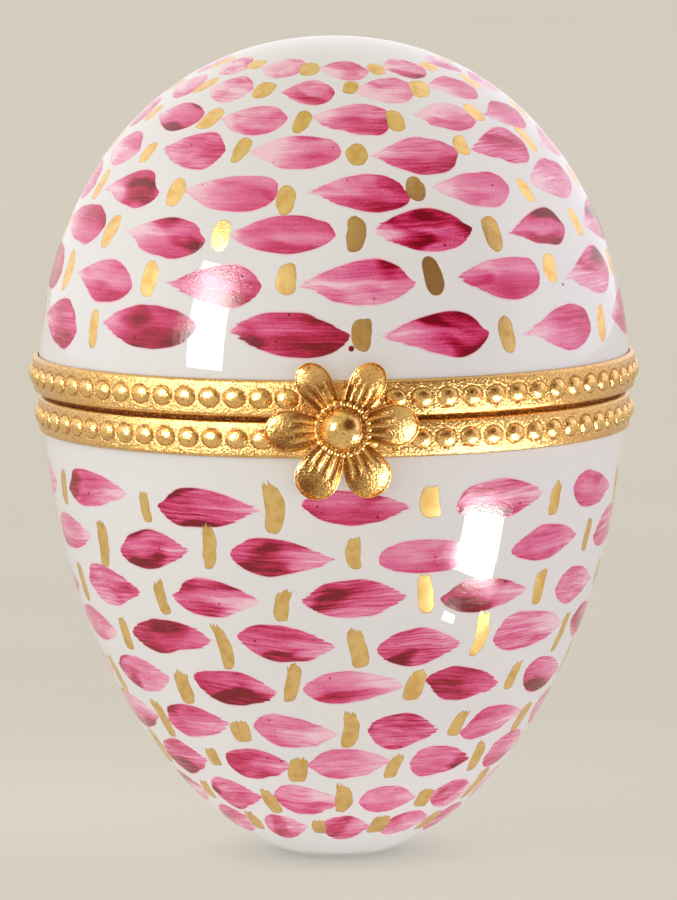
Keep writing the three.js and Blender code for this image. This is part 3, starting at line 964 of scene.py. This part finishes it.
bpy.ops.object.select_all(action="DESELECT")
bpy.ops.mesh.primitive_grid_add(x_subdivisions=PETAL_STEPS, y_subdivisions=PETAL_STEPS_ACROSS, size=1)
petal = bpy.context.active_object
petal.data.attributes.new("polish_and_shade", "FLOAT", "POINT")
petal.data.attributes.new("thickness", "FLOAT", "POINT")
petal_polish_and_shade = petal.data.attributes["polish_and_shade"].data
petal_thickness = petal.data.attributes["thickness"].data
for vertex in petal.data.vertices:
    step = round((vertex.co.x + 0.5) * PETAL_STEPS)
    vertex.co, polish_and_shade, thickness = petal_point(step, vertex.co.y * 2)
    petal_polish_and_shade[vertex.index].value = polish_and_shade
    petal_thickness[vertex.index].value = thickness
bpy.ops.object.mode_set(mode="EDIT")
bpy.ops.mesh.select_all(action="SELECT")
bpy.ops.mesh.duplicate()
bpy.ops.mesh.flip_normals()
bpy.ops.object.mode_set(mode="OBJECT")
petal_thickness = petal.data.attributes["thickness"].data
for vertex in petal.data.vertices:
    if vertex.select:
        vertex.co.z -= petal_thickness[vertex.index].value
petal.data.attributes.remove(petal.data.attributes["thickness"])
bpy.ops.object.mode_set(mode="EDIT")
close_up()

bpy.ops.mesh.primitive_cylinder_add(
    vertices=COLLAR_SIDES,
    radius=COLLAR_RADIUS,
    depth=COLLAR_HEIGHT,
    location=(0, 0, COLLAR_HEIGHT / 2),
)
flower = bpy.context.active_object
flower.name = "cast_flower"
flower.data.name = "cast_flower"
bpy.ops.object.transform_apply(location=True, rotation=False, scale=False)
bpy.ops.object.mode_set(mode="EDIT")
bpy.ops.mesh.select_all(action="SELECT")
bpy.ops.mesh.bevel(offset=COLLAR_ROUND, segments=COLLAR_ROUND_STEPS)
bpy.ops.mesh.select_all(action="DESELECT")
ball_height = FLOWER_BACK - FLOWER_FRONT - BALL_RADIUS
bpy.ops.mesh.primitive_uv_sphere_add(
    segments=BALL_SIDES, ring_count=BALL_RINGS, radius=BALL_RADIUS, location=(0, 0, ball_height)
)
bpy.ops.mesh.select_all(action="DESELECT")
bpy.ops.mesh.primitive_uv_sphere_add(
    segments=COLLAR_BEAD_SIDES,
    ring_count=COLLAR_BEAD_RINGS,
    radius=COLLAR_BEAD_HALF_WIDTH,
    location=(COLLAR_RADIUS - COLLAR_BEAD_INSET, 0, COLLAR_HEIGHT),
    rotation=(0, COLLAR_BEAD_TILT, 0),
    scale=(COLLAR_BEAD_STRETCH, 1, 1),
)
bpy.ops.mesh.spin(steps=COLLAR_BEADS, dupli=True, angle=2 * math.pi, center=(0, 0, 0), axis=(0, 0, 1))
bpy.ops.mesh.select_all(action="DESELECT")
bpy.ops.mesh.primitive_cube_add(size=1, location=SOLDER_MIDDLE, scale=SOLDER_SIZE)
close_up()
flower_polish_and_shade = flower.data.attributes.new("polish_and_shade", "FLOAT", "POINT")
# Painted shade: the ball darkens towards its lower rim by the collar, and the collar beads' tops stay
# light.
for vertex in flower.data.vertices:
    from_ball = vertex.co - Vector((0, 0, ball_height))
    shine_and_shade = COLLAR_POLISH
    if from_ball.length < BALL_RADIUS * 1.01:
        shine_and_shade = COLLAR_POLISH + BALL_POLISH * smooth_share(from_ball.z / BALL_RADIUS, 0.42, 0.82)
    elif vertex.co.z > COLLAR_HEIGHT + COLLAR_BEAD_TOP:
        shine_and_shade = 1.0
    flower_polish_and_shade.data[vertex.index].value = shine_and_shade

copies = []
for degrees, tip, half_width in PETALS:
    copy = petal.copy()
    copy.data = petal.data.copy()
    bpy.context.scene.collection.objects.link(copy)
    stretch = Matrix.Diagonal((tip * MM / PETAL_TIP, half_width * MM / PETAL_HALF_WIDTH, 1, 1))
    copy.data.transform(Matrix.Rotation(math.radians(degrees), 4, "Z") @ stretch)
    copies.append(copy)
bpy.data.objects.remove(petal)
bpy.ops.object.select_all(action="DESELECT")
for copy in copies:
    copy.select_set(True)
flower.select_set(True)
bpy.context.view_layer.objects.active = flower
bpy.ops.object.join()
to_the_band = Matrix.Translation(FLOWER_MIDDLE + Vector((0, FLOWER_BACK, 0)))
flower.data.transform(to_the_band @ Matrix.Rotation(math.pi / 2, 4, "X"))
bpy.ops.object.shade_smooth_by_angle(angle=FLOWER_SMOOTH_BELOW)
flower_gilt = gilt_brass("gilt_flower", roughness=0.08, tooth=0.11 * MM, has_polish_and_shade=True)
flower.data.materials.append(flower_gilt)
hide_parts("flower_clasp")
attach(flower, "lid")

# The egg stands on a wide round table top of pale matt paper, which reaches to the horizon on all sides.
# The paper glows faintly all over as painted light. Near the egg its colour is darkened and given back as
# painted glow, which fills in the egg's shadow and lights the foot from below, and at the foot that glow
# is dimmed as a painted contact shadow.
TABLE_RINGS = (0.02, 0.06, 0.2, 0.8, 4.5)
TABLE_SIDES = 96
PAPER_TONES = (srgb(214, 211, 206), srgb(219, 216, 212))
PAINTED_GLOW_TONES = (srgb(218, 214, 200), srgb(223, 219, 206))
BLACK = (0.0, 0.0, 0.0)
NEAR_PAINTED_GLOW = 0.95
table_top = turn("pale_table", [(0, 0)] + [(radius, 0) for radius in TABLE_RINGS], TABLE_SIDES)
table_paper, table_shader, table_place = new_material("pale_paper")
table_east, table_north = parts(table_place)[:2]
from_egg = reckon("SQRT", table_east * table_east + table_north * table_north)
table_mottle = grain(table_place, 0.02, 3.0)
table_tone = tint(table_mottle, *PAPER_TONES)
painted_glow_tone = tint(table_mottle, *PAINTED_GLOW_TONES)
# Painted glow near the egg: the paper's colour is darkened here and the light given back as glow.
near_egg = ease(from_egg, 8.0, 90.0, 0.6, 0.0)
connect(tint(near_egg, table_tone, BLACK), table_shader.inputs["Base Color"])
connect(painted_glow_tone, table_shader.inputs["Emission Color"])
table_shader.inputs["Roughness"].default_value = 0.9
table_shader.inputs["Specular IOR Level"].default_value = 0.0
# Painted contact shadow: the glow is dimmed close round the foot.
contact_shadow = ease(from_egg, 3.5, 12.0, 0.66, 1.0)
painted_glow = near_egg * contact_shadow * NEAR_PAINTED_GLOW + ease(from_egg, 60.0, 900.0, 0.07, 0.11)
connect(painted_glow, table_shader.inputs["Emission Strength"])
table_paper.cycles.emission_sampling = "NONE"
table_top.data.materials.append(table_paper)

# A bright room and wide fill lamps light the egg evenly. Three soft boxes, a tall one at the left and two
# small low ones at the right, give the glaze its highlights and the gold its sparkle.
bpy.context.scene.view_settings.view_transform = "Standard"
LIGHT_TINT = (0.995, 0.995, 0.985)
COOL_TINT = (0.93, 0.95, 1.12)
GLINT_WHITE = (1.0, 1.0, 1.0)
FILL_DISTANCE = 2.4
egg_middle = Vector((0, 0, SEAM))


def soft_box(name, stand_at, size, brightness, glints=False, middle=egg_middle, tone=LIGHT_TINT):
    """A rectangular lamp facing a point, from stand_at: azimuth from the front, elevation and distance.

    With glints it shows as a highlight only; without, it lights only what is matt."""
    azimuth, elevation, distance = stand_at
    width, height = size
    swing, climb = math.radians(azimuth), math.radians(elevation)
    away = Vector(
        (math.sin(swing) * math.cos(climb), -math.cos(swing) * math.cos(climb), math.sin(climb))
    )
    lamp = bpy.data.lights.new(name, "AREA")
    lamp.shape = "RECTANGLE"
    lamp.size = width
    lamp.size_y = height
    lamp.energy = brightness * math.pi * width * height
    lamp.color = GLINT_WHITE if glints else tone
    stand = bpy.data.objects.new(name, lamp)
    bpy.context.scene.collection.objects.link(stand)
    stand.location = middle + away * distance
    stand.rotation_mode = "QUATERNION"
    stand.rotation_quaternion = (-away).to_track_quat("-Z", "Y")
    stand.visible_camera = False
    stand.visible_diffuse = not glints
    stand.visible_glossy = glints


soft_box("left_soft_box", stand_at=(-52, 16.8, 0.6), size=(0.16, 0.275), brightness=22.0, glints=True)
soft_box(
    "right_low_box",
    stand_at=(65, -26.8, 0.04),
    size=(0.0156, 0.0122),
    brightness=45.0,
    glints=True,
    middle=Vector((10.75, -19.4, 26.8)) * MM,
)
soft_box(
    "right_small_box",
    stand_at=(58.3, -39.4, 0.025),
    size=(0.0031, 0.0012),
    brightness=45.0,
    glints=True,
    middle=Vector((8.37, -18.9, 20.75)) * MM,
)
soft_box("front_fill", stand_at=(0, 14, FILL_DISTANCE), size=(1.6, 1.6), brightness=0.85)
soft_box("low_fill", stand_at=(0, 1.2, FILL_DISTANCE), size=(2.13, 0.16), brightness=4.5)
soft_box("table_bounce", stand_at=(0, -90, SEAM - 0.5 * MM), size=(0.04, 0.04), brightness=0.2)
soft_box("left_fill", stand_at=(-68, 18, FILL_DISTANCE), size=(1.33, 1.33), brightness=1.4)
soft_box("right_fill", stand_at=(68, 4, FILL_DISTANCE), size=(1.33, 0.3), brightness=7.8, tone=COOL_TINT)
world = bpy.data.worlds.new("studio")
bpy.context.scene.world = world
world.use_nodes = True
room = world.node_tree.nodes["Background"]
direction = world.node_tree.nodes.new("ShaderNodeTexCoord")
room_x, room_y, room_z = parts(Wire(direction.outputs["Generated"]))


def towards(azimuth, elevation, far, near):
    """How near a direction lies to a given one: 0 from far degrees off, 1 within near degrees."""
    swing, climb = math.radians(azimuth), math.radians(elevation)
    aligned = room_x * (math.sin(swing) * math.cos(climb)) - room_y * (math.cos(swing) * math.cos(climb))
    aligned = aligned + room_z * math.sin(climb)
    return ease(aligned, math.cos(math.radians(far)), math.cos(math.radians(near)))


# The ceiling, the right and left walls, the camera's side and a dark corner: azimuth, elevation, where
# each one ends and where it is full, all in degrees, and its colour.
ROOM_PATCHES = (
    (0, 90, 75, 15, (0.76, 0.73, 0.5)),
    (125, 4, 70, 30, (1.36, 1.28, 1.36)),
    (-125, 4, 70, 30, (1.24, 1.17, 1.15)),
    (10, 8, 48, 16, (0.58, 0.49, 0.34)),
    (42, 28, 44, 16, (0.2, 0.09, 0.05)),
)
ROOM_BRIGHTNESS = 0.92
room_light = LIGHT_TINT
for azimuth, elevation, far, near, colour in ROOM_PATCHES:
    room_light = tint(towards(azimuth, elevation, far, near), room_light, colour)
connect(room_light, room.inputs["Color"])
room.inputs["Strength"].default_value = ROOM_BRIGHTNESS

# The camera stands a little above the seam, a shade left of the flower, with a long lens.
IMAGE_WIDTH = 677
IMAGE_HEIGHT = 900
CAMERA_DISTANCE = 590 * MM
CAMERA_AZIMUTH = math.radians(-1.4)
CAMERA_ELEVATION = math.radians(5.8)
CAMERA_ROLL = math.radians(-0.42)
PIXELS_PER_MM = 12.82
SEAM_PIXEL = (334.5, 388.5)
back = Vector(
    (
        math.sin(CAMERA_AZIMUTH) * math.cos(CAMERA_ELEVATION),
        -math.cos(CAMERA_AZIMUTH) * math.cos(CAMERA_ELEVATION),
        math.sin(CAMERA_ELEVATION),
    )
)
right = Vector((0, 0, 1)).cross(back).normalized()
up = back.cross(right)
camera_place = egg_middle + back * CAMERA_DISTANCE
aim_right = (IMAGE_WIDTH / 2 - SEAM_PIXEL[0]) / PIXELS_PER_MM * MM
aim_up = (SEAM_PIXEL[1] - IMAGE_HEIGHT / 2) / PIXELS_PER_MM * MM
aim = egg_middle + right * aim_right + up * aim_up
lens = bpy.data.cameras.new("camera")
lens.sensor_width = 36.0
lens.lens = PIXELS_PER_MM * CAMERA_DISTANCE / MM * lens.sensor_width / IMAGE_HEIGHT
lens.clip_start = 0.01
lens.clip_end = 20.0
camera = bpy.data.objects.new("camera", lens)
bpy.context.scene.collection.objects.link(camera)
camera.location = camera_place
look = (aim - camera_place).to_track_quat("-Z", "Y")
camera.rotation_mode = "QUATERNION"
camera.rotation_quaternion = look @ Matrix.Rotation(CAMERA_ROLL, 3, "Z").to_quaternion()
bpy.context.scene.camera = camera
